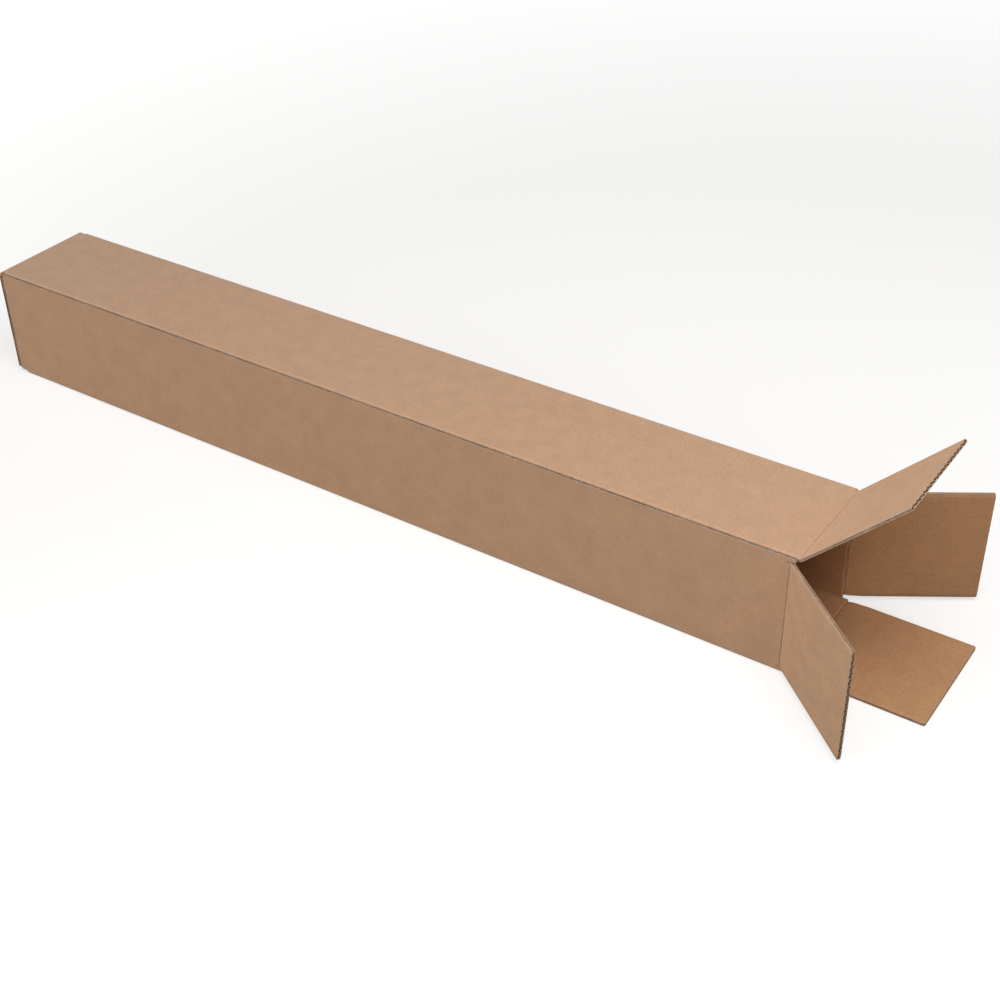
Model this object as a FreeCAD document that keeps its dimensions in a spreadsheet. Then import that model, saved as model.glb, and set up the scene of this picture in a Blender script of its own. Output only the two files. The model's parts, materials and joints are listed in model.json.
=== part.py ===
import FreeCAD, Part
import math
import os
import Sketcher

# Long square carton folded from one sheet of single-wall corrugated board, lying on its side.
# The mouth faces +X with its four flaps standing open, and the other end is folded shut.
# The origin is at the mouth, where the front flap's crease crosses over the middle of the base.
# X runs out of the mouth, Y across the carton with its front at -Y, and Z up from the surface
# that it lies on. Millimetres and degrees.

doc = FreeCAD.newDocument("LongCarton")

SIZES = [
    # the carton as folded
    ("outer_width", 110.0),
    ("outer_height", 110.0),
    ("length", 852.0),
    ("board", 3.0),
    ("fold_radius", 2.5),
    # layers of flaps lie on each other with this much air between them
    ("layer_gap", 0.2),
    # maker's joint along the top front edge
    ("joint_gap", 0.3),
    ("joint_step", 0.6),
    ("tab_width", 32.0),
    ("tab_setback", 16.0),
    ("tab_taper", 14.0),
    # flaps
    ("short_flap", 105.4),
    ("long_flap", 107.4),
    ("slot_inset", 2.6),
    ("tuck_inset", 4.0),
    ("slot_play", 0.3),
    ("end_gap", 0.6),
    ("end_flap_lift", 4.0),
    # scores that the mouth flaps turn on
    ("score_depth", 0.75),
    ("score_core", 0.45),
    ("score_play", 0.1),
    ("inward_fold", 93.0),
    ("outward_fold", 152.0),
    # how far each mouth flap stands open
    ("top_angle", 45.0),
    ("front_angle", 41.0),
    ("back_angle", 32.0),
    # corrugated medium
    ("flute_pitch", 6.35),
    ("liner", 0.35),
    ("medium", 0.3),
    ("crest", 1.4),
    ("flute_radius", 1.0),
    ("crush", 6.0),
    ("edge_channel", 1.6),
]

sheet = doc.addObject("Spreadsheet::Sheet", "Sizes")
for row, (alias, size) in enumerate(SIZES, start=1):
    sheet.set(f"A{row}", alias)
    sheet.set(f"B{row}", str(size))
    sheet.setAlias(f"B{row}", alias)
doc.recompute()


def number(text):
    value = sheet.evalExpression(text)
    return float(getattr(value, "Value", value))


# Lengths that several pieces share, worked out from the sheet.
HALF_WIDTH = "Sizes.outer_width / 2"
HEIGHT = "Sizes.outer_height"
BOARD = "Sizes.board"
LAYER = "(Sizes.board + Sizes.layer_gap)"
# Creases of the mouth, each one layer further out than the flap that closes before it.
CREASE = {
    "front": "0",
    "back": LAYER,
    "top": f"(2 * {LAYER})",
    "bottom": f"(3 * {LAYER})",
}
# Outer faces of the flaps of the shut end, the top one outermost.
SHUT = {
    "top": "(0 - Sizes.length)",
    "front": f"({LAYER} - Sizes.length)",
    "back": f"(2 * {LAYER} - Sizes.length)",
    "bottom": f"(3 * {LAYER} - Sizes.length)",
}
# A score leaves a groove on each side of its crushed core. Half its width there:
GROOVE_IN = "((Sizes.board - Sizes.score_depth) * tan(Sizes.inward_fold / 2))"
GROOVE_OUT = "(Sizes.score_depth * tan(Sizes.outward_fold / 2))"
SPARE = "1"


def new_body(name):
    body = doc.addObject("PartDesign::Body", name)
    body.Label = name
    return body


def new_sketch(body, name, plane, offset=None):
    sketch = body.newObject("Sketcher::SketchObject", name)
    for feature in body.Origin.OriginFeatures:
        if feature.Role == plane:
            sketch.AttachmentSupport = [(feature, "")]
    sketch.MapMode = "FlatFace"
    if offset:
        sketch.setExpression("AttachmentOffset.Base.z", offset)
    return sketch


def bind(sketch, constraint, size):
    index = sketch.addConstraint(constraint)
    sketch.setExpression(f"Constraints[{index}]", size)


def pin(sketch, geometry, end, across, along):
    origin = (-1, 1)
    x, y = number(across), number(along)
    bind(sketch, Sketcher.Constraint("DistanceX", *origin, geometry, end, x), across)
    bind(sketch, Sketcher.Constraint("DistanceY", *origin, geometry, end, y), along)


# Closed outline through corners given as (across, along) or (across, along, radius).
def outline(sketch, corners):
    points = [FreeCAD.Vector(number(c[0]), number(c[1]), 0) for c in corners]
    radii = [number(c[2]) if len(c) > 2 else 0.0 for c in corners]
    count = len(corners)
    ends = []
    for i, point in enumerate(points):
        before = (points[i - 1] - point).normalize()
        after = (points[(i + 1) % count] - point).normalize()
        half = before.getAngle(after) / 2
        reach = radii[i] / math.tan(half)
        centre = point + (before + after).normalize() * (radii[i] / math.sin(half))
        ends.append((point + before * reach, point + after * reach, centre))
    lines = []
    for i in range(count):
        line = Part.LineSegment(ends[i][1], ends[(i + 1) % count][0])
        lines.append(sketch.addGeometry(line, False))
    for i, corner in enumerate(corners):
        before, after = lines[i - 1], lines[i]
        if len(corner) == 2:
            sketch.addConstraint(Sketcher.Constraint("Coincident", before, 2, after, 1))
            pin(sketch, after, 1, *corner)
        else:
            round_corner(sketch, points[i], ends[i], before, after, corner)


def round_corner(sketch, point, ends, before, after, corner):
    entry, leave, centre = ends
    turn = (point - entry).cross(leave - point).z
    first, last = (entry, leave) if turn > 0 else (leave, entry)
    start = math.atan2(first.y - centre.y, first.x - centre.x)
    stop = math.atan2(last.y - centre.y, last.x - centre.x)
    circle = Part.Circle(centre, FreeCAD.Vector(0, 0, 1), (entry - centre).Length)
    arc = sketch.addGeometry(Part.ArcOfCircle(circle, start, stop), False)
    near, far = (1, 2) if turn > 0 else (2, 1)
    mark = sketch.addGeometry(Part.Point(point), True)
    pin(sketch, mark, 1, corner[0], corner[1])
    sketch.addConstraint(Sketcher.Constraint("PointOnObject", mark, 1, before))
    sketch.addConstraint(Sketcher.Constraint("PointOnObject", mark, 1, after))
    sketch.addConstraint(Sketcher.Constraint("Tangent", before, 2, arc, near))
    sketch.addConstraint(Sketcher.Constraint("Tangent", after, 1, arc, far))
    bind(sketch, Sketcher.Constraint("Radius", arc, circle.Radius), corner[2])


def rectangle(sketch, low, high):
    outline(sketch, [low, (high[0], low[1]), high, (low[0], high[1])])


def extrude(body, kind, sketch, name, length, midplane=False, reverse=False):
    feature = body.newObject(f"PartDesign::{kind}", name)
    feature.Profile = sketch
    feature.setExpression("Length", length)
    feature.Midplane = midplane
    feature.Reversed = reverse
    sketch.Visibility = False
    return feature


# Each wall is drawn in its own side view: the plane that shows its thickness, how depth below its
# outer face reads in that plane, where the middle of its width lies and how wide it is.
SIDE_VIEW = {
    "top": ("XZ_Plane", lambda depth: f"({HEIGHT} - {depth})", None, "Sizes.outer_width"),
    "bottom": ("XZ_Plane", lambda depth: f"({depth})", None, "Sizes.outer_width"),
    "front": ("XY_Plane", lambda depth: f"({depth} - {HALF_WIDTH})", f"{HEIGHT} / 2", HEIGHT),
    "back": ("XY_Plane", lambda depth: f"({HALF_WIDTH} - {depth})", f"{HEIGHT} / 2", HEIGHT),
}
# A slot at each corner parts neighbouring flaps, and takes this much off each side of a flap.
INSET = {
    "top": "Sizes.slot_inset",
    "bottom": "Sizes.slot_inset",
    "front": "Sizes.tuck_inset",
    "back": "Sizes.tuck_inset",
}


# Section of the folded sheet, open at the top front edge where its two ends meet.
# The front panel ends in a raw edge beside the top panel, which bends down behind it.
def sleeve_section(body):
    sketch = new_sketch(body, "SleeveSection", "YZ_Plane", "0 - Sizes.length")
    fold = "Sizes.fold_radius"
    front, back = f"-({HALF_WIDTH})", HALF_WIDTH
    front_inside, back_inside = f"{BOARD} - {HALF_WIDTH}", f"{HALF_WIDTH} - {BOARD}"
    raw_edge = f"{HEIGHT} - Sizes.joint_step"
    ceiling = f"{HEIGHT} - {BOARD}"
    bend = f"{front_inside} + Sizes.joint_gap"
    outline(sketch, [
        (front, raw_edge),
        (front, "0", fold),
        (back, "0", fold),
        (back, HEIGHT, fold),
        (bend, HEIGHT, fold),
        (bend, ceiling),
        (back_inside, ceiling),
        (back_inside, BOARD),
        (front_inside, BOARD),
        (front_inside, raw_edge),
    ])
    extrude(body, "Pad", sketch, "Walls", f"Sizes.length + {CREASE['bottom']}")


# Glue tab, which runs on from the top panel and is stuck to the inside of the front panel.
def glue_tab(body):
    sketch = new_sketch(body, "TabOutline", "XZ_Plane", f"{HALF_WIDTH} - {BOARD}")
    ceiling = f"{HEIGHT} - {BOARD}"
    hem = f"{ceiling} - Sizes.tab_width"
    start, stop = "Sizes.tab_setback - Sizes.length", "0 - Sizes.tab_setback"
    outline(sketch, [
        (start, ceiling),
        (f"{start} + Sizes.tab_taper", hem),
        (f"{stop} - Sizes.tab_taper", hem),
        (stop, ceiling),
    ])
    extrude(body, "Pad", sketch, "GlueTab", f"{BOARD} + Sizes.joint_gap", reverse=True)


# Mouth end of one wall between its slots, cut back to its score so that its flap can turn both ways.
def score_wall(body, side):
    plane, at_depth, middle, across = SIDE_VIEW[side]
    sketch = new_sketch(body, f"{side.title()}Score", plane, middle)
    crease = CREASE[side]
    nose = "(Sizes.score_core + Sizes.score_play)"
    shallow = f"(Sizes.score_depth - {nose} / tan(Sizes.outward_fold / 2))"
    deep = f"(Sizes.score_depth + {nose} / tan(Sizes.inward_fold / 2))"
    outside, inside = f"(0 - {SPARE})", f"({BOARD} + Sizes.layer_gap)"
    clear = f"{CREASE['bottom']} + {SPARE}"
    outline(sketch, [
        (clear, at_depth(outside)),
        (f"{crease} - {GROOVE_OUT}", at_depth(outside)),
        (f"{crease} - {GROOVE_OUT}", at_depth("0")),
        (f"{crease} - {nose}", at_depth(shallow)),
        (f"{crease} - {nose}", at_depth(deep)),
        (f"{crease} - {GROOVE_IN}", at_depth(BOARD)),
        (f"{crease} - {GROOVE_IN}", at_depth(inside)),
        (clear, at_depth(inside)),
    ])
    width = f"{across} - 2 * ({INSET[side]} - Sizes.slot_play)"
    extrude(body, "Pocket", sketch, f"{side.title()}ScoreCut", width, midplane=True)


# Slot at one corner of the mouth, cut square across the fold and so deep that the top or bottom flap
# lies clear of its end when shut.
def slot_end(body, side, level):
    start = f"{CREASE['bottom']} + {SPARE}"
    sketch = new_sketch(body, f"{side}{level}Slot".title(), "YZ_Plane", start)
    y_sign = 1 if side == "back" else -1
    z_sign = 1 if level == "top" else -1

    def at(from_side, from_level):
        y = f"{y_sign} * ({HALF_WIDTH} - {from_side})"
        z = f"{HEIGHT} / 2 + {z_sign} * ({HEIGHT} / 2 - {from_level})"
        return (y, z)

    reach_side = f"({INSET[level]} - Sizes.slot_play)"
    reach_level = f"({INSET[side]} - Sizes.slot_play)"
    inside, outside = f"({BOARD} + Sizes.layer_gap)", f"(0 - {SPARE})"
    if (side, level) == ("front", "top"):
        # the sheet's two ends meet here without a fold
        rectangle(sketch, at(f"({BOARD} + Sizes.joint_gap / 2)", reach_level), at(outside, outside))
    else:
        outline(sketch, [
            at(inside, reach_level),
            at(outside, reach_level),
            at(outside, outside),
            at(reach_side, outside),
            at(reach_side, inside),
            at(inside, inside),
        ])
    depth = f"{start} - ({CREASE[level]} + Sizes.score_depth - {LAYER})"
    extrude(body, "Pocket", sketch, f"{side}{level}SlotCut".title(), depth)


# Raw edge that runs along the flutes: the last one lies open between the two liners.
def edge_channel(body, name, plane, offset, edge, length, reverse=False):
    sketch = new_sketch(body, f"{name}Channel", plane, offset)
    half = f"({BOARD} / 2 - Sizes.liner)"
    outline(sketch, [
        edge(f"(0 - {half})", f"(0 - {SPARE})"),
        edge(f"(0 - {half})", "Sizes.edge_channel") + ("Sizes.flute_radius",),
        edge(half, "Sizes.edge_channel") + ("Sizes.flute_radius",),
        edge(half, f"(0 - {SPARE})"),
    ])
    extrude(body, "Pocket", sketch, f"{name}ChannelCut", length, reverse=reverse)


def joint_channel(body):
    def edge(across, deep):
        return (f"{BOARD} / 2 + {across} - {HALF_WIDTH}", f"{HEIGHT} - Sizes.joint_step - {deep}")

    start = f"{CREASE['bottom']} + {SPARE}"
    edge_channel(body, "Joint", "YZ_Plane", start, edge, f"{start} + Sizes.length + {SPARE}")


# The two long raw edges of the outer flap of the shut end, from its free edge up to the fold.
def end_flap_channels(body):
    def front(across, deep):
        return (f"{BOARD} / 2 + {across} - Sizes.length", f"{deep} + Sizes.end_gap - {HALF_WIDTH}")

    def back(across, deep):
        return (f"{BOARD} / 2 + {across} - Sizes.length", f"{HALF_WIDTH} - Sizes.slot_inset - {deep}")

    start = f"Sizes.end_flap_lift - {SPARE}"
    for name, edge in (("EndFront", front), ("EndBack", back)):
        edge_channel(body, name, "XY_Plane", start, edge, f"{HEIGHT} - {BOARD} - ({start})", reverse=True)


# Shut end of one wall, cut back to where its flap folds in.
def trim_wall(body, side):
    plane, at_depth, middle, across = SIDE_VIEW[side]
    sketch = new_sketch(body, f"{side.title()}End", plane, middle)
    low = (f"0 - Sizes.length - {SPARE}", at_depth(f"(0 - {SPARE})"))
    high = (f"{SHUT[side]} + {BOARD}", at_depth(BOARD))
    rectangle(sketch, low, high)
    extrude(body, "Pocket", sketch, f"{side.title()}EndCut", f"{across} + 2 * {SPARE}", midplane=True)


# Flap of the shut end: its fold is rounded outside, and it runs down to its free edge.
def shut_flap(body, side, reach, low, high):
    plane, at_depth, _, _ = SIDE_VIEW[side]
    sign = -1 if plane == "XZ_Plane" else 1
    sketch = new_sketch(body, f"{side.title()}FlapSide", plane, f"{sign} * ({low})")
    outer, inner = SHUT[side], f"{SHUT[side]} + {BOARD}"
    outline(sketch, [
        (outer, at_depth("0"), "Sizes.fold_radius"),
        (inner, at_depth("0")),
        (inner, at_depth(reach)),
        (outer, at_depth(reach)),
    ])
    width = f"({high}) - ({low})"
    extrude(body, "Pad", sketch, f"{side.title()}EndFlap", width, reverse=plane == "XZ_Plane")


def make_sleeve():
    body = new_body("sleeve")
    sleeve_section(body)
    glue_tab(body)
    for side in ("front", "back", "top", "bottom"):
        score_wall(body, side)
    for side in ("front", "back"):
        for level in ("top", "bottom"):
            slot_end(body, side, level)
    joint_channel(body)
    for side in ("front", "back", "top", "bottom"):
        trim_wall(body, side)
    free_edge = f"({BOARD} + Sizes.end_gap)"
    inside = f"{HALF_WIDTH} - {free_edge}"
    tuck = "Sizes.tuck_inset"
    shut_flap(body, "front", f"(Sizes.outer_width - {free_edge})", tuck, f"{HEIGHT} - {tuck}")
    shut_flap(body, "back", f"(Sizes.outer_width - {free_edge})", tuck, f"{HEIGHT} - {tuck}")
    shut_flap(body, "bottom", f"({HEIGHT} - {free_edge})", f"0 - ({inside})", inside)
    edge = f"{HALF_WIDTH} - Sizes.end_gap"
    reach = f"({HEIGHT} - Sizes.end_flap_lift)"
    shut_flap(body, "top", reach, f"0 - ({edge})", f"{HALF_WIDTH} - Sizes.slot_inset")
    end_flap_channels(body)
    return body


# Side view of a mouth flap lying straight out from its score, which is the origin.
# Z points out of the carton. The root is rounded about the score's core.
def flap_side(body, name, length):
    sketch = new_sketch(body, f"{name}_side", "XZ_Plane")
    core = "Sizes.score_core"
    half_in, half_out = "Sizes.inward_fold / 2", "Sizes.outward_fold / 2"
    outside, inside = "Sizes.score_depth", f"Sizes.score_depth - {BOARD}"
    chain = [
        (f"{core} * sin({half_out})", f"{core} * cos({half_out})"),
        (GROOVE_OUT, outside),
        (length, outside),
        (length, inside),
        (GROOVE_IN, inside),
        (f"{core} * sin({half_in})", f"-1 * {core} * cos({half_in})"),
    ]
    points = [FreeCAD.Vector(number(x), number(y), 0) for x, y in chain]
    lines = []
    for first, last in zip(points, points[1:]):
        lines.append(sketch.addGeometry(Part.LineSegment(first, last), False))
    for line, (x, y) in zip(lines[1:], chain[1:-1]):
        sketch.addConstraint(Sketcher.Constraint("Coincident", line - 1, 2, line, 1))
        pin(sketch, line, 1, x, y)
    start, stop = (math.atan2(p.y, p.x) for p in (points[0], points[-1]))
    circle = Part.Circle(FreeCAD.Vector(0, 0, 0), FreeCAD.Vector(0, 0, 1), points[0].Length)
    arc = sketch.addGeometry(Part.ArcOfCircle(circle, start, stop + 2 * math.pi), False)
    sketch.addConstraint(Sketcher.Constraint("Coincident", arc, 3, -1, 1))
    sketch.addConstraint(Sketcher.Constraint("Coincident", arc, 1, lines[0], 1))
    sketch.addConstraint(Sketcher.Constraint("Coincident", arc, 2, lines[-1], 2))
    bind(sketch, Sketcher.Constraint("Radius", arc, circle.Radius), core)
    for end, (x, _) in ((1, chain[0]), (2, chain[-1])):
        bind(sketch, Sketcher.Constraint("DistanceX", -1, 1, arc, end, number(x)), x)
    return sketch


# One channel on each side of the medium: glued to a liner at its wide side, and rounded where the
# medium turns over its crest. The row of them is a little wider than the flap, so that the flap's
# long edges show the side of a flute, as cut board does.
def flutes(body, name, length, width):
    count = f"(ceil(({width}) / Sizes.flute_pitch) + 1)"
    first = f"(0 - ({count} - 1) / 2 * Sizes.flute_pitch - Sizes.flute_pitch / 4)"
    sketch = new_sketch(body, f"{name}_flute", "YZ_Plane", length)
    roof = "Sizes.score_depth - Sizes.liner"
    floor = f"Sizes.score_depth - {BOARD} + Sizes.liner"
    wide = "(Sizes.flute_pitch - Sizes.crest) / 2"
    deep = f"({BOARD} - 2 * Sizes.liner - Sizes.medium)"
    # the two flanks meet beyond the round by about this much
    tip = f"(hypot({deep}; {wide}) / ({wide}) - 1) * Sizes.flute_radius"
    for centre, open_side, apex in (
        (first, roof, f"{roof} - {deep} - {tip}"),
        (f"({first} + Sizes.flute_pitch / 2)", floor, f"{floor} + {deep} + {tip}"),
    ):
        outline(sketch, [
            (f"{centre} - {wide}", open_side),
            (f"{centre} + {wide}", open_side),
            (centre, apex, "Sizes.flute_radius"),
        ])
    pocket = extrude(body, "Pocket", sketch, f"{name}_channel", f"{length} - Sizes.crush")
    doc.recompute()
    row = body.newObject("PartDesign::LinearPattern", f"{name}_flutes")
    row.Originals = [pocket]
    row.Direction = (sketch, ["H_Axis"])
    row.setExpression("Occurrences", count)
    row.setExpression("Length", f"({count} - 1) * Sizes.flute_pitch")
    body.Tip = row


# Mouth flap, turned about its score to where it stands.
def make_flap(name, length, width, place, turn):
    body = new_body(name)
    sketch = flap_side(body, name, length)
    extrude(body, "Pad", sketch, f"{name}_board", width, midplane=True)
    doc.recompute()
    flutes(body, name, length, width)
    vector = "create(<<vector>>; {}; {}; {})".format(*place)
    rotation = "create(<<rotation>>; {}; {}; {})".format(*turn)
    body.setExpression("Placement", f"create(<<placement>>; {vector}; {rotation})")
    return body


def check(bodies):
    doc.recompute()
    for item in doc.Objects:
        if "Invalid" in item.State or "Error" in item.State:
            raise RuntimeError(f"{item.Name} failed: {item.State}")
    for body in bodies:
        if body.Shape.isNull() or not body.Shape.isValid():
            raise RuntimeError(f"{body.Label} has no valid shape")
        print(f"{body.Label}: {len(body.Shape.Solids)} solid, {body.Shape.Volume:.1f} mm3")


outer_span = f"Sizes.outer_width - 2 * {INSET['top']}"
inner_span = f"{HEIGHT} - 2 * {INSET['front']}"
depth = "Sizes.score_depth"
bodies = [
    make_sleeve(),
    make_flap("top_flap", "Sizes.short_flap", outer_span,
              (CREASE["top"], "0", f"{HEIGHT} - {depth}"), ("0", "-1 * Sizes.top_angle", "0")),
    make_flap("front_flap", "Sizes.short_flap", inner_span,
              (CREASE["front"], f"{depth} - {HALF_WIDTH}", f"{HEIGHT} / 2"),
              ("-1 * Sizes.front_angle", "0", "90")),
    make_flap("back_flap", "Sizes.long_flap", inner_span,
              (CREASE["back"], f"{HALF_WIDTH} - {depth}", f"{HEIGHT} / 2"),
              ("Sizes.back_angle", "0", "-90")),
    make_flap("bottom_flap", "Sizes.long_flap", outer_span,
              (CREASE["bottom"], "0", depth), ("0", "0", "180")),
]
check(bodies)

os.makedirs("parts", exist_ok=True)
for body in bodies:
    body.Shape.exportStep(f"parts/{body.Label}.step")
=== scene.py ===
import json
import math

import bmesh
import bpy
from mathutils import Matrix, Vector, noise


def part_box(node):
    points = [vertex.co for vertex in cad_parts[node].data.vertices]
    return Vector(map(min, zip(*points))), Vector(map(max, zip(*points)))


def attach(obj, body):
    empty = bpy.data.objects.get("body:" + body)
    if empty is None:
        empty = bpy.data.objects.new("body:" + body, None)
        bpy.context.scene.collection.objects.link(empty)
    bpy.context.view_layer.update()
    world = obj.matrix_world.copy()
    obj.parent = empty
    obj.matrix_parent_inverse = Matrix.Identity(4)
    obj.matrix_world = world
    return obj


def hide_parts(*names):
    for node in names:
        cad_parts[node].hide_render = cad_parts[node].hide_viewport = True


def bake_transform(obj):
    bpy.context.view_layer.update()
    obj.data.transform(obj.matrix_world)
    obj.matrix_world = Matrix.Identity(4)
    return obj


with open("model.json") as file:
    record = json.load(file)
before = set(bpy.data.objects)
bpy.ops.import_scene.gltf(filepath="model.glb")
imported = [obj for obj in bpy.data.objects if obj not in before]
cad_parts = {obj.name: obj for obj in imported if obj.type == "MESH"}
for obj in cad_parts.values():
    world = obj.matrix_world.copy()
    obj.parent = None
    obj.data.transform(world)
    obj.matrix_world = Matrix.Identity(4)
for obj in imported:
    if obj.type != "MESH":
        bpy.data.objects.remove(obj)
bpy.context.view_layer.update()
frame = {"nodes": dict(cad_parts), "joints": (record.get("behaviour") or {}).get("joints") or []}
mm = 0.001
outOfMouth = Vector((1, 0, 0))

# Single-wall board, in mm: its thickness and the length of one flute
stock = {
    "wall": 3.0,
    "flutePitch": 6.35,
}


# Camera and studio, in metres and degrees

photo = {
    "place": (0.35716, -0.93655, 0.82277),
    "turn": (54.764, 1.061, 34.172),
    "lens": 57.54,
    "sensor": 36,
}
studio = {
    "floorSize": 6,
    "floorDrop": 0.00005,  # keeps the floor off the carton's base
    "floorColour": "#b9b7b5",
    "floorBounce": "#6e6a66",
    "floorGlow": (0.6, 0.97),  # near the object, and where glowReach ends
    "glowReach": (0.9, 2.4),
    "skyStrength": 0.29,
}
lamps = {
    "overMouth": {"place": (0.33, -0.32, 1.25), "aim": (0, 0, 0), "size": 1.0, "power": 12.0},
    "front": {"place": (-1.0, -1.98, 0.66), "aim": (-0.5, 0, 0.05), "size": 1.4, "power": 9.5},
    "right": {"place": (0.85, -1.7, 0.42), "aim": (0.1, 0, 0.06), "size": 0.5, "power": 4.8},
    "left": {"place": (-3.4, -1.0, 0.39), "aim": (-0.2, 0, 0.06), "size": 1.4, "power": 62},
}
white = (1, 1, 1, 1)


def linearFromHex(text):
    parts = [int(text[i:i + 2], 16) / 255 for i in (1, 3, 5)]
    return tuple(c / 12.92 if c <= 0.04045 else ((c + 0.055) / 1.055) ** 2.4 for c in parts) + (1,)


def addNode(tree, kind, inputs=None, **settings):
    node = tree.nodes.new(kind)
    for name, value in settings.items():
        setattr(node, name, value)
    for socket, value in (inputs or {}).items():
        if isinstance(value, bpy.types.NodeSocket):
            tree.links.new(value, node.inputs[socket])
        else:
            node.inputs[socket].default_value = value
    return node


def newMaterial(name):
    material = bpy.data.materials.new(name)
    material.use_nodes = True
    material.node_tree.nodes.clear()
    return material, material.node_tree


def addPiece(shape, name, materials):
    mesh = bpy.data.meshes.new(name)
    shape.to_mesh(mesh)
    shape.free()
    for material in materials:
        mesh.materials.append(material)
    piece = bpy.data.objects.new(name, mesh)
    bpy.context.scene.collection.objects.link(piece)
    return piece


def makeCamera():
    data = bpy.data.cameras.new("photoCamera")
    data.sensor_width = photo["sensor"]
    data.lens = photo["lens"]
    camera = bpy.data.objects.new("photoCamera", data)
    camera.location = photo["place"]
    camera.rotation_euler = [math.radians(a) for a in photo["turn"]]
    bpy.context.scene.collection.objects.link(camera)
    bpy.context.scene.camera = camera


def makeWorld():
    world = bpy.data.worlds.new("studioWorld")
    bpy.context.scene.world = world
    world.use_nodes = True
    tree = world.node_tree
    tree.nodes.clear()
    path = addNode(tree, "ShaderNodeLightPath").outputs
    seen = addNode(tree, "ShaderNodeMath", {0: path["Is Camera Ray"], 1: path["Is Glossy Ray"]},
                   operation="MAXIMUM")
    light = addNode(tree, "ShaderNodeBackground", {"Color": white, "Strength": studio["skyStrength"]})
    backdrop = addNode(tree, "ShaderNodeBackground", {"Color": white, "Strength": 1.0})
    both = addNode(tree, "ShaderNodeMixShader",
                   {0: seen.outputs[0], 1: light.outputs[0], 2: backdrop.outputs[0]})
    addNode(tree, "ShaderNodeOutputWorld", {"Surface": both.outputs[0]})


# Floor: the camera sees a pale one with the object's shadow, and the object a darker one
def makeFloor():
    material, tree = newMaterial("paleFloor")
    place = addNode(tree, "ShaderNodeTexCoord").outputs["Object"]
    away = addNode(tree, "ShaderNodeVectorMath", {0: place}, operation="LENGTH").outputs["Value"]
    (near, far), (dim, bright) = studio["glowReach"], studio["floorGlow"]
    lift = addNode(tree, "ShaderNodeMapRange",
                   {"Value": away, "From Min": near, "From Max": far, "To Min": dim, "To Max": bright})
    glow = addNode(tree, "ShaderNodeEmission", {"Color": white, "Strength": lift.outputs[0]})
    plain = addNode(tree, "ShaderNodeBsdfDiffuse", {"Color": linearFromHex(studio["floorColour"])})
    pale = addNode(tree, "ShaderNodeAddShader", {0: plain.outputs[0], 1: glow.outputs[0]})
    bounce = addNode(tree, "ShaderNodeBsdfDiffuse", {"Color": linearFromHex(studio["floorBounce"])})
    seen = addNode(tree, "ShaderNodeLightPath").outputs["Is Camera Ray"]
    both = addNode(tree, "ShaderNodeMixShader", {0: seen, 1: bounce.outputs[0], 2: pale.outputs[0]})
    addNode(tree, "ShaderNodeOutputMaterial", {"Surface": both.outputs[0]})
    shape = bmesh.new()
    bmesh.ops.create_grid(shape, x_segments=1, y_segments=1, size=studio["floorSize"])
    for v in shape.verts:
        v.co.z = -studio["floorDrop"]
    addPiece(shape, "floor", [material])


def makeLamp(name, spec):
    data = bpy.data.lights.new(name, "AREA")
    data.shape = "SQUARE"
    data.size = spec["size"]
    data.energy = spec["power"]
    lamp = bpy.data.objects.new(name, data)
    lamp.location = spec["place"]
    aim = Vector(spec["aim"]) - lamp.location
    lamp.rotation_euler = aim.to_track_quat("-Z", "Y").to_euler()
    bpy.context.scene.collection.objects.link(lamp)


makeCamera()
makeWorld()
makeFloor()
for name, spec in lamps.items():
    makeLamp(name, spec)
bpy.context.scene.view_settings.view_transform = "Standard"
print("studio ready")


# Papers of the board, in the order of their material slots

outside, inside, cut, flute, sheared = range(5)
papers = {
    # Unbleached kraft liner, pressed smooth on hot rolls: warm brown, a faint sheen, soft mottle
    "kraftLinerOutside": {"colour": "#be9777", "mottle": 0.14, "flutes": 0.006, "roughness": 0.5},
    # Same liner's unpressed face, glued over the flutes: deeper, matt, with their washboard in it as bump
    # and as painted shade stripes
    "kraftLinerInside": {"colour": "#ba8b62", "mottle": 0.14, "flutes": 0.014, "roughness": 0.7},
    # Liner cut through by a steel rule: torn fibres scatter the light, so it looks paler
    "cutPaperEdge": {"colour": "#c4a88c", "mottle": 0.12, "flutes": 0, "roughness": 0.8},
    # Fluting medium of reused fibre, steamed and waved: greyer, darker and matt
    "flutingMedium": {"colour": "#8b6f5b", "mottle": 0.12, "flutes": 0, "roughness": 0.8},
    # Board sheared along its flutes: liners and medium crushed together, so it is streaky
    "shearedBoardEdge": {"colour": "#9c8371", "mottle": 0.55, "flutes": 0, "roughness": 0.8},
}
# Sizes in mm. Specks and grain are drawn coarser than real fibres, which are too fine to show
fibre = {
    "clouds": 16,
    "fibres": 2.2,
    "grain": 0.9,
    "specks": 2.6,
    "cloudShare": 0.6,
    "grainShare": 0.8,
    "mixRange": (0.85, 1.55),
    "speckRange": (0.82, 0.87),
    "speckShade": 0.75,
    "bump": 0.25,
    "bumpHeight": 0.2,
    "fluteRelief": 5,  # height of the washboard in the bump, for each unit of washboard strength, which also sets its painted shade stripes
}
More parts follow.
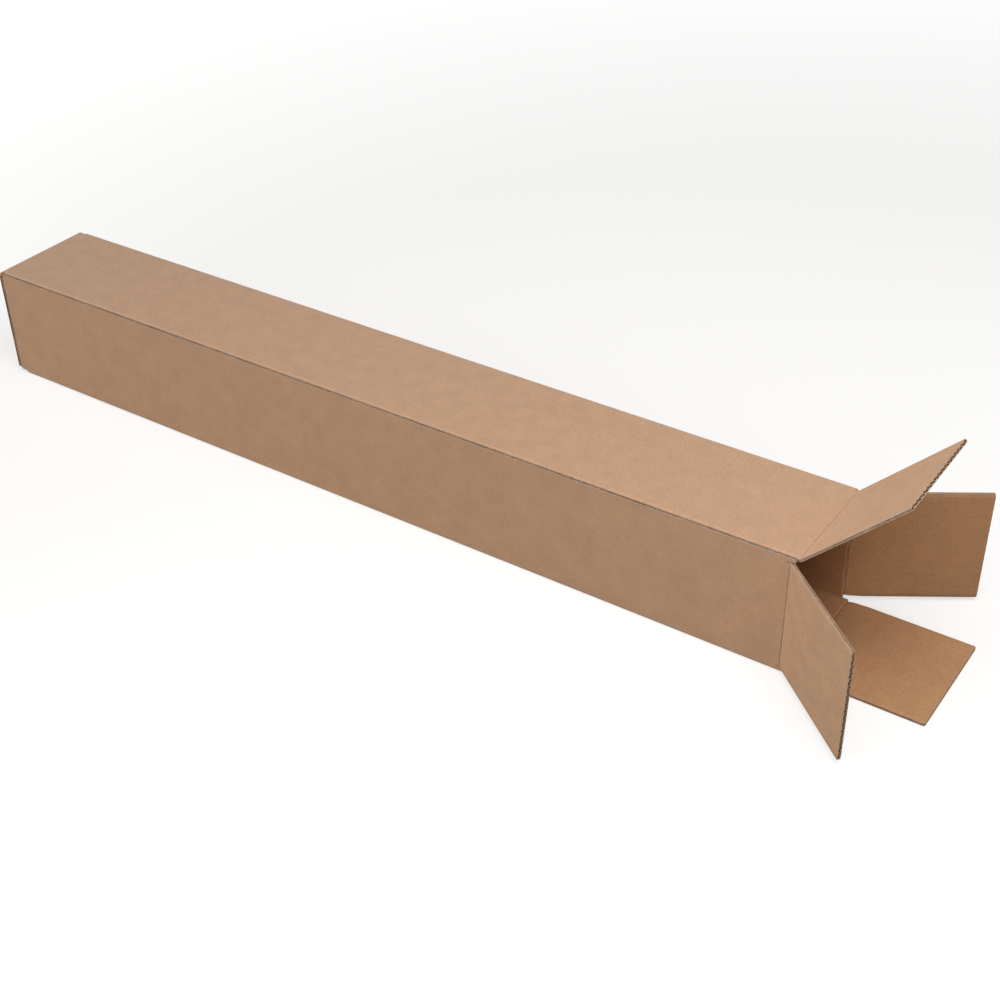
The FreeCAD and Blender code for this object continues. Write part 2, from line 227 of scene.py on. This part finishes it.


# Mesh attributes: one holds painted shade in a crease, negative where a painted highlight lies beside it;
# "across" runs over the flutes, in metres
def kraftPaper(name, spec):
    material, tree = newMaterial(name)
    place = addNode(tree, "ShaderNodeTexCoord").outputs["Object"]
    clouds = addNode(tree, "ShaderNodeTexNoise",
                     {"Vector": place, "Scale": 1 / (fibre["clouds"] * mm), "Detail": 2}).outputs["Fac"]
    fibres = addNode(tree, "ShaderNodeTexNoise",
                     {"Vector": place, "Scale": 1 / (fibre["fibres"] * mm), "Detail": 4}).outputs["Fac"]
    grain = addNode(tree, "ShaderNodeTexNoise",
                    {"Vector": place, "Scale": 1 / (fibre["grain"] * mm), "Detail": 2}).outputs["Fac"]
    specks = addNode(tree, "ShaderNodeTexNoise",
                     {"Vector": place, "Scale": 1 / (fibre["specks"] * mm), "Detail": 0}).outputs["Fac"]
    soft = addNode(tree, "ShaderNodeMath", {0: clouds, 1: fibre["cloudShare"], 2: fibres},
                   operation="MULTIPLY_ADD")
    mixed = addNode(tree, "ShaderNodeMath", {0: grain, 1: fibre["grainShare"], 2: soft.outputs[0]},
                    operation="MULTIPLY_ADD")
    (low, high), mottle = fibre["mixRange"], spec["mottle"]
    mottled = addNode(tree, "ShaderNodeMapRange",
                      {"Value": mixed.outputs[0], "From Min": low, "From Max": high,
                       "To Min": 1 - mottle, "To Max": 1 + mottle}).outputs[0]
    low, high = fibre["speckRange"]
    specked = addNode(tree, "ShaderNodeMapRange",
                      {"Value": specks, "From Min": low, "From Max": high,
                       "To Min": 1, "To Max": fibre["speckShade"]}).outputs[0]
    across = addNode(tree, "ShaderNodeAttribute", attribute_name="across").outputs["Fac"]
    turns = addNode(tree, "ShaderNodeMath", {0: across, 1: 2 * math.pi / (stock["flutePitch"] * mm)},
                    operation="MULTIPLY")
    wave = addNode(tree, "ShaderNodeMath", {0: turns.outputs[0]}, operation="SINE").outputs[0]
    # Painted shade and painted highlight in stripes across the flutes, standing in for light on the
    # washboard
    paintedWashboardShade = addNode(tree, "ShaderNodeMapRange",
                    {"Value": wave, "From Min": -1, "From Max": 1,
                     "To Min": 1 - spec["flutes"], "To Max": 1 + spec["flutes"]}).outputs[0]
    # Painted shade in creases, and painted highlight beside them, read from the flap meshes
    paintedCreaseShade = addNode(tree, "ShaderNodeAttribute", attribute_name="paintedCreaseShade").outputs["Fac"]
    clearOfCreaseShade = addNode(tree, "ShaderNodeMath", {0: 1.0, 1: paintedCreaseShade}, operation="SUBTRACT").outputs[0]
    spots = addNode(tree, "ShaderNodeMath", {0: mottled, 1: specked}, operation="MULTIPLY")
    # Both painted shades together: washboard stripes and creases
    lines = addNode(tree, "ShaderNodeMath", {0: paintedWashboardShade, 1: clearOfCreaseShade}, operation="MULTIPLY")
    # The paper's own mottle and specks, times the painted shade
    shade = addNode(tree, "ShaderNodeMath", {0: spots.outputs[0], 1: lines.outputs[0]}, operation="MULTIPLY")
    colour = linearFromHex(spec["colour"])[:3]
    tint = addNode(tree, "ShaderNodeVectorMath", {0: colour, "Scale": shade.outputs[0]}, operation="SCALE")
    relief = fibre["fluteRelief"] * spec["flutes"]
    height = addNode(tree, "ShaderNodeMath", {0: wave, 1: relief, 2: fibres}, operation="MULTIPLY_ADD")
    bump = addNode(tree, "ShaderNodeBump", {"Strength": fibre["bump"], "Distance": fibre["bumpHeight"] * mm,
                                            "Height": height.outputs[0]})
    shader = addNode(tree, "ShaderNodeBsdfPrincipled",
                     {"Base Color": tint.outputs[0], "Normal": bump.outputs[0],
                      "Roughness": spec["roughness"]})
    addNode(tree, "ShaderNodeOutputMaterial", {"Surface": shader.outputs[0]})
    return material


sheetMaterials = [kraftPaper(name, spec) for name, spec in papers.items()]
print("paper ready")


# Sleeve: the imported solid's own mesh, merged and given its papers face by face, in mm

sleeve = {
    "merge": 0.002,
    "flatAngle": 0.5,
    "slack": 0.05,
    "rawEdge": 110 - 0.6,  # height of the front panel's raw edge
    "channel": 1.6,
    "liner": 0.6,
    "mouthReach": 5,  # how far in from the mouth cut faces lie
}
slotEnds = {
    "back": {"end": 3.6, "side": 1},
    "front": {"end": 4.0, "side": -1},
}
slotCutter = {
    "clear": 14,
    "up": 5.5,
    "across": 5.4,
    "radius": 2.6,
    "through": 3.4,
    "spare": 1,
    "segments": 6,
}


def sleevePaper(spot, normal, low, high):
    wall, slack, channel = stock["wall"] * mm, sleeve["slack"] * mm, sleeve["channel"] * mm
    rawEdge, liner = sleeve["rawEdge"] * mm, sleeve["liner"] * mm
    depths = (spot.y - low.y, high.y - spot.y, spot.z - low.z, high.z - spot.z)
    depth = min(depths)
    facesAlong, facesUp, facesAcross = abs(normal.x) > 0.5, normal.z > 0.9, abs(normal.y) > 0.9
    if slack < depths[0] < wall + slack and spot.z > rawEdge - channel - slack and not facesAlong:
        if facesUp and spot.z > rawEdge - slack:
            return cut
        return sheared if depths[0] < wall - slack else inside
    if slack < spot.x - low.x < wall - slack and depths[3] > wall:
        return sheared if min(depths[:2]) > slack + liner or not facesAcross else cut
    if spot.x > -sleeve["mouthReach"] * mm and (facesAlong or slack < depth < wall - slack):
        return sheared
    return inside if depth > wall - slack and spot.x - low.x > wall - slack else outside


# Block with one edge rounded: corner holds the coordinates of that edge, and None along it
def roundedBlock(low, high, corner):
    shape = bmesh.new()
    bmesh.ops.create_cube(shape, size=1)
    for v in shape.verts:
        v.co = Vector([low[i] + (v.co[i] + 0.5) * (high[i] - low[i]) for i in range(3)]) * mm
    fixed = [i for i in range(3) if corner[i] is not None]
    near = [v for v in shape.verts if all(abs(v.co[i] - corner[i] * mm) < 1e-7 for i in fixed)]
    edges = [e for e in shape.edges if all(v in near for v in e.verts)]
    bmesh.ops.bevel(shape, geom=edges, offset=slotCutter["radius"] * mm, segments=slotCutter["segments"],
                    profile=0.5, affect="EDGES", material=-1)
    for face in shape.faces:
        face.material_index = sheared
    return addPiece(shape, "slotCutter", sheetMaterials)


# Slots at the two lower corners of the mouth end round, a little way into the walls
def cutSlots(piece, half):
    spare, clear, up = slotCutter["spare"], slotCutter["clear"], slotCutter["up"]
    through, across = slotCutter["through"], slotCutter["across"]
    for spec in slotEnds.values():
        side, end = spec["side"], spec["end"]
        beyond, wallFace, floorEdge = (side * (half + d) for d in (spare, -through, -across))
        throughWall = roundedBlock((end, min(wallFace, beyond), -spare), (clear, max(wallFace, beyond), up),
                                   (end, None, up))
        throughFloor = roundedBlock((end, min(floorEdge, beyond), -spare),
                                    (clear, max(floorEdge, beyond), through), (end, floorEdge, None))
        for cutter in (throughWall, throughFloor):
            cutting = piece.modifiers.new("slot", "BOOLEAN")
            cutting.operation = "DIFFERENCE"
            cutting.solver = "EXACT"
            cutting.object = cutter
            bpy.context.view_layer.update()
            ready = piece.evaluated_get(bpy.context.evaluated_depsgraph_get())
            mesh = bpy.data.meshes.new_from_object(ready)
            piece.modifiers.clear()
            piece.data = mesh
            bpy.data.objects.remove(cutter)


def makeSleeve():
    low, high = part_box("sleeve")
    shape = bmesh.new()
    shape.from_mesh(frame["nodes"]["sleeve"].data)
    bmesh.ops.remove_doubles(shape, verts=shape.verts, dist=sleeve["merge"] * mm)
    bmesh.ops.dissolve_limit(shape, angle_limit=math.radians(sleeve["flatAngle"]), verts=shape.verts,
                             edges=shape.edges)
    across = shape.loops.layers.float.new("across")
    for face in shape.faces:
        face.material_index = sleevePaper(face.calc_center_median(), face.normal, low, high)
        sideWall = abs(face.normal.y) > abs(face.normal.z)
        for loop in face.loops:
            loop[across] = loop.vert.co.z if sideWall else loop.vert.co.y
    piece = addPiece(shape, "cartonSleeve", sheetMaterials)
    cutSlots(piece, high.y / mm)
    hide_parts("sleeve")
    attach(piece, "carton")


# Mouth flaps: corrugated board from the crease to the free edge, in mm
# Along a flap: s runs from its crease, w across it and n up from the middle of the board

shutAngle = 90
board = {
    "liner": 0.42,
    "medium": 0.42,
    "overlap": 3.0,  # inner liner goes on under the wall
    "gridStep": 3.4,
    "farStep": 12.5,
    "farStart": 4,
    "farCount": 9,
    "endCuts": (2.4, 1.6, 1.1, 0.7, 0.4, 0.15),
    "edgeCuts": (0.15, 0.4, 0.8, 1.2, 1.6, 2.2, 2.8, 3.5),
    "crushReach": 3.5,
    "crushTo": 0.72,
    "cornerRadius": 1.6,
    "notch": {"start": -0.3, "ramp": 0.9, "fadeStart": 0.5, "fade": 7.0, "widen": 0.3},
}
wave = {
    "steps": 16,
    "flatness": 1.5,  # flattens the crests, where they are glued to the liners
    "inset": 0.5,
    "endInset": 0.05,
    "foldReach": 5,
    "endReach": 2.5,
}
fringe = {
    "step": 0.6,
    "rows": 4,
    "endInset": 0.3,
    "ragged": {"depth": 0.22, "along": 1.1, "up": 0.7},
    "slow": {"depth": 0.25, "along": 9, "up": 1.2},
    "least": 0.02,
    "sideSeed": 20,
}
# Depths and half widths of what the creasing rule leaves in the board
crease = {
    "foldHalf": 0.9,
    "turnHalf": 2.4,
    "gridStep": 0.3,
    "gridCount": 10,
    "margin": 0.1,
    "slowWaver": {"depth": 0.8, "length": 16},
    "quickWaver": {"depth": 0.25, "length": 3.5, "seed": 4.6},
    "groove": {"depth": 0.42, "width": 0.38},
    "pressed": {"depth": 0.32, "width": 0.55},
    "lip": {"depth": 0.08, "at": 1.1, "width": 0.4},
    "breaks": {"length": 5, "least": 0.65, "depth": 0.7, "seed": 9},
    "tuck": 0.02,  # keeps the inner liner clear of the wall that it goes under
}
# Painted shade in a crease, and painted highlight beside it where shade is negative: strength, distance from
# the crease and half width, in mm
creaseShade = {
    "outerLine": {"width": 0.5},
    "outerLight": {"shade": -0.08, "at": 1.3, "width": 0.6},
    "innerLine": {"shade": 0.34, "at": 0.7, "width": 0.5},
    "innerLight": {"shade": -0.12, "at": -0.6, "width": 0.5},
}
# Per flap, the painted shade line gives how dark the painted shade in the crease is outside. notch: how far
# each long edge draws in at the root
flaps = {
    "top_flap": {"piece": "topFlap", "seed": 3.1, "line": 0.34, "notch": (0, 0), "recess": 0.22},
    "front_flap": {"piece": "frontFlap", "seed": 11.4, "line": 0.95, "notch": (0, 0), "recess": 0.7},
    "back_flap": {"piece": "backFlap", "seed": 23.8, "line": 0.4, "notch": (1.5, 0), "recess": 0.3},
    "bottom_flap": {"piece": "bottomFlap", "seed": 36.2, "line": 0.4, "notch": (2.6, 2.6), "recess": 0.3},
}


def flapFrame(joint):
    axis = Vector(joint["axis"])
    pivot = Vector(joint["pos_m"])
    outward = axis.cross(outOfMouth)
    angle = math.radians(-joint["range_deg"][0] - shutAngle)
    return pivot, axis, outward, angle


# Extent of a packed flap along, across and up, and where its outer and inner faces start
def flapSpan(node, pivot, axis, outward, angle):
    along = outOfMouth * math.cos(angle) + outward * math.sin(angle)
    up = outward * math.cos(angle) - outOfMouth * math.sin(angle)
    spots = [v.co - pivot for v in node.data.vertices]
    span = [(min(s.dot(d) for s in spots), max(s.dot(d) for s in spots)) for d in (along, axis, up)]
    slack = sleeve["slack"] * mm
    outerStart = min(s.dot(along) for s in spots if s.dot(up) > span[2][1] - slack)
    innerStart = min(s.dot(along) for s in spots if s.dot(up) < span[2][0] + slack)
    return span, outerStart, innerStart


def bell(distance, width):
    return math.exp(-(distance / (width * mm)) ** 2)


def smooth(x):
    x = min(1, max(0, x))
    return x * x * (3 - 2 * x)


def waver(w, seed):
    slow, quick = crease["slowWaver"], crease["quickWaver"]
    slowly = noise.noise(Vector((w / (slow["length"] * mm), seed, 0)))
    quickly = noise.noise(Vector((w / (quick["length"] * mm), seed + quick["seed"], 0)))
    return (slow["depth"] * slowly + quick["depth"] * quickly) * mm


# How much narrower a flap is near its root: drawn in past the crease, a little wider before it
def rootNotch(s, w, size):
    notch = board["notch"]
    past = smooth((s - notch["start"] * mm) / (notch["ramp"] * mm))
    drawn = size["notch"][w > size["centre"]] * mm
    drawn *= 1 - smooth((s - notch["fadeStart"] * mm) / (notch["fade"] * mm))
    return drawn * past - notch["widen"] * mm * (1 - past)


# Point of the flat board after die-cutting and creasing
def shapeBoard(spot, size):
    s, w, n = spot
    centre, half = size["centre"], size["half"]
    w = centre + (w - centre) * (1 - rootNotch(s, w, size) / half)
    radius = board["cornerRadius"] * mm
    inEnd, inSide = size["length"] - s, half - abs(w - centre)
    if inEnd < radius and inSide < radius:
        reach = math.hypot(radius - inEnd, radius - inSide)
        if reach > radius:
            s += (radius - inEnd) * (radius / reach - 1)
            w -= math.copysign((radius - inSide) * (1 - radius / reach), w - centre)
    closing = 1 - smooth(inSide / (board["crushReach"] * mm))
    n *= 1 - (1 - board["crushTo"]) * closing
    offset = s - waver(w, size["seed"])
    share = 0.5 - n / size["thickness"]
    groove, pressed, lip = crease["groove"], crease["pressed"], crease["lip"]
    dent = groove["depth"] * mm * bell(offset, groove["width"])
    bead = pressed["depth"] * mm * bell(offset, pressed["width"])
    bead -= lip["depth"] * mm * bell(abs(offset) - lip["at"] * mm, lip["width"])
    return Vector((s, w, n - (1 - share) * dent + share * bead))


# Painted shade darkening the crease, and painted highlight beside it on the bead
def paintCreaseShade(spot, size, layer):
    offset = spot.x - waver(spot.y, size["seed"])
    breaks = crease["breaks"]
    along = Vector((spot.y / (breaks["length"] * mm), size["seed"] + breaks["seed"], 1))
    broken = breaks["least"] + breaks["depth"] * noise.noise(along)
    if layer == outside:
        line, light = creaseShade["outerLine"], creaseShade["outerLight"]
        dark = size["line"] * broken * bell(offset, line["width"])
    elif layer == inside:
        line, light = creaseShade["innerLine"], creaseShade["innerLight"]
        dark = line["shade"] * broken * bell(offset - line["at"] * mm, line["width"])
    else:
        return 0
    return dark + light["shade"] * bell(offset - light["at"] * mm, light["width"])


def bendFold(spot, size):
    s, w, n = spot
    half = crease["foldHalf"] * mm
    turn = size["angle"] * smooth((s + half) / (2 * half))
    x = s * math.cos(turn) - n * math.sin(turn)
    z = s * math.sin(turn) + n * math.cos(turn)
    return size["pivot"] + outOfMouth * x + size["outward"] * z + size["axis"] * w


def cutAt(shape, stations, direction):
    for at in stations:
        geom = shape.verts[:] + shape.edges[:] + shape.faces[:]
        bmesh.ops.bisect_plane(shape, geom=geom, plane_co=direction * at, plane_no=direction)


def flatGrid(start, stop, low, high, acrossSteps, material):
    shape = bmesh.new()
    made = bmesh.ops.create_grid(shape, x_segments=1, y_segments=acrossSteps, size=0.5)
    for v in made["verts"]:
        v.co = Vector((start + (v.co.x + 0.5) * (stop - start), low + (v.co.y + 0.5) * (high - low), 0))
    for face in shape.faces:
        face.material_index = material
    return shape


# Grid lines lie close together in the fold, at the free edge and along the side edges
def foldStations(start, stop):
    count = crease["gridCount"]
    near = [k * crease["gridStep"] * mm for k in range(-count, count + 1)]
    far = [(board["farStart"] + k * board["farStep"]) * mm for k in range(board["farCount"])]
    end = [stop - d * mm for d in board["endCuts"]]
    margin = crease["margin"] * mm
    return [at for at in near + far + end if start + margin < at < stop - margin]


def edgeStations(low, high):
    return [low + d * mm for d in board["edgeCuts"]] + [high - d * mm for d in board["edgeCuts"]]


# Gives a sheet its thickness and puts its middle at the level asked for
def thicken(shape, thickness, level):
    shape.normal_update()
    bmesh.ops.solidify(shape, geom=shape.faces[:], thickness=thickness)
    low = min(v.co.z for v in shape.verts)
    high = max(v.co.z for v in shape.verts)
    for v in shape.verts:
        v.co.z += level - (low + high) / 2
    shape.normal_update()


def makeLiner(size, start, level, material):
    low, high = size["centre"] - size["half"], size["centre"] + size["half"]
    steps = round((high - low) / (board["gridStep"] * mm))
    shape = flatGrid(start, size["length"], low, high, steps, material)
    cutAt(shape, foldStations(start, size["length"]), Vector((1, 0, 0)))
    cutAt(shape, edgeStations(low, high), Vector((0, 1, 0)))
    thicken(shape, board["liner"] * mm, level)
    for face in shape.faces:
        if abs(face.normal.z) < 0.5:
            face.material_index = cut
    return shape


def makeMedium(size, start):
    pitch, thickness = stock["flutePitch"] * mm, board["medium"] * mm
    swing = (size["thickness"] - 2 * board["liner"] * mm - thickness) / 2
    narrow = size["half"] - wave["inset"] * mm
    low, high = size["centre"] - narrow, size["centre"] + narrow
    stop = size["length"] - wave["endInset"] * mm
    shape = flatGrid(start, stop, low, high, round((high - low) / pitch * wave["steps"]), flute)
    stations = [at for at in foldStations(start, stop)
                if at < wave["foldReach"] * mm or at > stop - wave["endReach"] * mm]
    cutAt(shape, stations, Vector((1, 0, 0)))
    for v in shape.verts:
        turn = math.cos(2 * math.pi * (v.co.y - low) / pitch)
        v.co.z = swing * math.tanh(wave["flatness"] * turn) / math.tanh(wave["flatness"])
    thicken(shape, thickness, 0)
    for face in shape.faces:
        if face.normal.x > 0.9:
            face.material_index = cut
    return shape


# Ragged side of the last flute, which shows between the liners along a long edge
def makeFringe(size, start, outerStart, side):
    gap = size["thickness"] / 2 - board["liner"] * mm
    stop = size["length"] - fringe["endInset"] * mm
    shape = flatGrid(start, stop, -gap, gap, fringe["rows"], sheared)
    count = int((stop - start) / (fringe["step"] * mm))
    cutAt(shape, [start + (k + 0.5) * (stop - start) / count for k in range(count)], Vector((1, 0, 0)))
    for v in shape.verts:
        n = v.co.y
        s = max(v.co.x, start + (outerStart - start) * (n + gap) / (2 * gap))
        recess = size["recess"]
        for part in (fringe["ragged"], fringe["slow"]):
            up = n / (part["up"] * mm) + fringe["sideSeed"] * side
            recess += part["depth"] * noise.noise(Vector((s / (part["along"] * mm), up, size["seed"])))
        v.co = Vector((s, size["centre"] + side * (size["half"] - max(fringe["least"], recess) * mm), n))
    return shape


def makeFlap(name, spec):
    joint = next(j for j in frame["joints"] if j["child"] == name)
    pivot, axis, outward, angle = flapFrame(joint)
    span, outerStart, innerStart = flapSpan(frame["nodes"][name], pivot, axis, outward, angle)
    (_, length), (low, high), (under, over) = span
    size = {"pivot": pivot, "axis": axis, "outward": outward, "angle": angle,
            "length": length, "centre": (low + high) / 2, "half": (high - low) / 2,
            "thickness": over - under,
            "seed": spec["seed"], "line": spec["line"], "notch": spec["notch"], "recess": spec["recess"]}
    rim = (size["thickness"] - board["liner"] * mm) / 2
    layers = [
        (makeLiner(size, -outerStart, rim, outside), outside),
        (makeLiner(size, -innerStart - board["overlap"] * mm, -rim, inside), inside),
        (makeMedium(size, -innerStart), flute),
        (makeFringe(size, -innerStart, -outerStart, -1), sheared),
        (makeFringe(size, -innerStart, -outerStart, 1), sheared),
    ]
    whole = bmesh.new()
    for layer, kind in layers:
        # Painted crease shade and highlight per vertex, and the place across the flutes
        paintedCreaseShade = layer.verts.layers.float.new("paintedCreaseShade")
        across = layer.verts.layers.float.new("across")
        for v in layer.verts:
            v[paintedCreaseShade] = paintCreaseShade(v.co, size, kind)
            v[across] = v.co.y
            spot = shapeBoard(v.co, size)
            spot.z += (under + over) / 2
            if kind == inside and spot.x < innerStart:
                spot.z -= crease["tuck"] * mm
            v.co = bendFold(spot, size)
        scratch = bpy.data.meshes.new("layer")
        layer.to_mesh(scratch)
        layer.free()
        whole.from_mesh(scratch)
        bpy.data.meshes.remove(scratch)
    bmesh.ops.recalc_face_normals(whole, faces=whole.faces)
    piece = addPiece(whole, spec["piece"], sheetMaterials)
    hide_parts(name)
    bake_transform(piece)


makeSleeve()
print("sleeve ready")
for name, spec in flaps.items():
    makeFlap(name, spec)
print("flaps ready")
